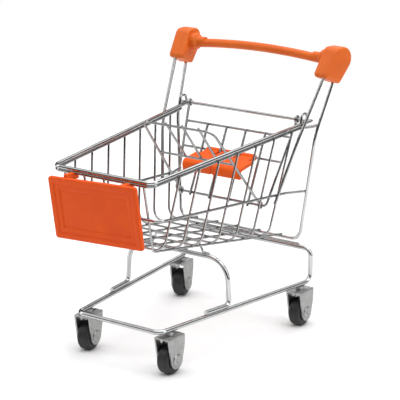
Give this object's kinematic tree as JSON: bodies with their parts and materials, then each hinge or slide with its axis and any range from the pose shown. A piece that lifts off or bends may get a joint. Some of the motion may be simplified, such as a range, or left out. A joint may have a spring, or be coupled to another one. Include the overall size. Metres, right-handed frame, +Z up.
{
  "type": "shopping cart",
  "caption": "Small chrome wire shopping cart with a tapered basket, open base, orange handle and front panel, swinging gate, folding seat and swivel casters.",
  "frame": {"origin": "on the floor, under the centre of the cart's bounding box", "axes": "+Y to the rear, towards the handle; +X to the right seen from the front; +Z up"},
  "size_m": [0.1152, 0.1637, 0.1607],
  "materials": {
    "chrome": "polished",
    "orange_plastic": "satin moulded",
    "handle_plastic": "satin moulded",
    "fork_steel": "zinc plated",
    "wheel_plastic": "matt",
    "tyre_rubber": "matt"
  },
  "bodies": {
    "cart": {"base_frame": "chrome", "front_arch": "chrome", "arch_saddle": "chrome", "bridge_saddle": "chrome", "rim": "chrome", "under_rim": "chrome", "mid_wire": "chrome", "rib_1": "chrome", "rib_2": "chrome", "rib_3": "chrome", "rib_4": "chrome", "rib_5": "chrome", "rib_6": "chrome", "rib_7": "chrome", "floor_wire_1": "chrome", "floor_wire_2": "chrome", "floor_wire_3": "chrome", "floor_wire_4": "chrome", "floor_wire_5": "chrome", "panel_plate": "orange_plastic", "panel_clips": "orange_plastic", "handle_loop": "chrome", "handle_bar": "handle_plastic", "front_upright_left": "chrome", "front_upright_right": "chrome", "handle_cap_left": "handle_plastic", "handle_cap_right": "handle_plastic", "pivot_bar": "chrome", "pivot_bracket_left": "chrome", "pivot_bracket_right": "chrome", "king_pin_front_left": "fork_steel", "king_pin_front_right": "fork_steel", "king_pin_rear_left": "fork_steel", "king_pin_rear_right": "fork_steel"},
    "caster_front_left": {"fork_front_left": "fork_steel", "axle_front_left": "fork_steel"},
    "roller_front_left": {"wheel_front_left": "wheel_plastic", "tyre_front_left": "tyre_rubber"},
    "caster_front_right": {"fork_front_right": "fork_steel", "axle_front_right": "fork_steel"},
    "roller_front_right": {"wheel_front_right": "wheel_plastic", "tyre_front_right": "tyre_rubber"},
    "caster_rear_left": {"fork_rear_left": "fork_steel", "axle_rear_left": "fork_steel"},
    "roller_rear_left": {"wheel_rear_left": "wheel_plastic", "tyre_rear_left": "tyre_rubber"},
    "caster_rear_right": {"fork_rear_right": "fork_steel", "axle_rear_right": "fork_steel"},
    "roller_rear_right": {"wheel_rear_right": "wheel_plastic", "tyre_rear_right": "tyre_rubber"},
    "gate": {"gate_frame": "chrome", "gate_bars": "chrome", "gate_rods": "chrome"},
    "seat_back": {"seat_back_frame": "chrome", "seat_back_rods": "chrome"},
    "seat": {"seat_plate": "orange_plastic"}
  },
  "joints": [
    {"name": "gate_swing", "type": "hinge", "parent": "cart", "child": "gate", "pos_m": [0, 0.0556, 0.1202], "axis": [1, 0, 0], "range_deg": [-55, 0]},
    {"name": "seat_back_fold", "type": "hinge", "parent": "gate", "child": "seat_back", "pos_m": [0, 0.03404, 0.0731], "axis": [1, 0, 0], "range_deg": [-36, 0]},
    {"name": "seat_flip", "type": "hinge", "parent": "gate", "child": "seat", "pos_m": [0, 0.04494, 0.09692], "axis": [1, 0, 0], "range_deg": [-90, 0]},
    {"name": "swivel_front_left", "type": "hinge", "parent": "cart", "child": "caster_front_left", "pos_m": [-0.02946, -0.0499, 0.0216], "axis": [0, 0, 1], "continuous": true},
    {"name": "spin_front_left", "type": "hinge", "parent": "caster_front_left", "child": "roller_front_left", "pos_m": [-0.02949, -0.0497, 0.0082], "axis": [0.989, 0.1478, 0], "continuous": true},
    {"name": "swivel_front_right", "type": "hinge", "parent": "cart", "child": "caster_front_right", "pos_m": [0.02905, -0.0529, 0.0216], "axis": [0, 0, 1], "continuous": true},
    {"name": "spin_front_right", "type": "hinge", "parent": "caster_front_right", "child": "roller_front_right", "pos_m": [0.02905, -0.0527, 0.0082], "axis": [1, 0, 0], "continuous": true},
    {"name": "swivel_rear_left", "type": "hinge", "parent": "cart", "child": "caster_rear_left", "pos_m": [-0.0438, 0.0555, 0.0216], "axis": [0, 0, 1], "continuous": true},
    {"name": "spin_rear_left", "type": "hinge", "parent": "caster_rear_left", "child": "roller_rear_left", "pos_m": [-0.04385, 0.05569, 0.0082], "axis": [0.9703, 0.2419, 0], "continuous": true},
    {"name": "swivel_rear_right", "type": "hinge", "parent": "cart", "child": "caster_rear_right", "pos_m": [0.04339, 0.0525, 0.0216], "axis": [0, 0, 1], "continuous": true},
    {"name": "spin_rear_right", "type": "hinge", "parent": "caster_rear_right", "child": "roller_rear_right", "pos_m": [0.04338, 0.0527, 0.0082], "axis": [0.9994, 0.0349, 0], "continuous": true}
  ],
  "couplings": [
    {"joint": "seat_flip", "follows": "seat_back_fold", "ratio": 2.4}
  ]
}
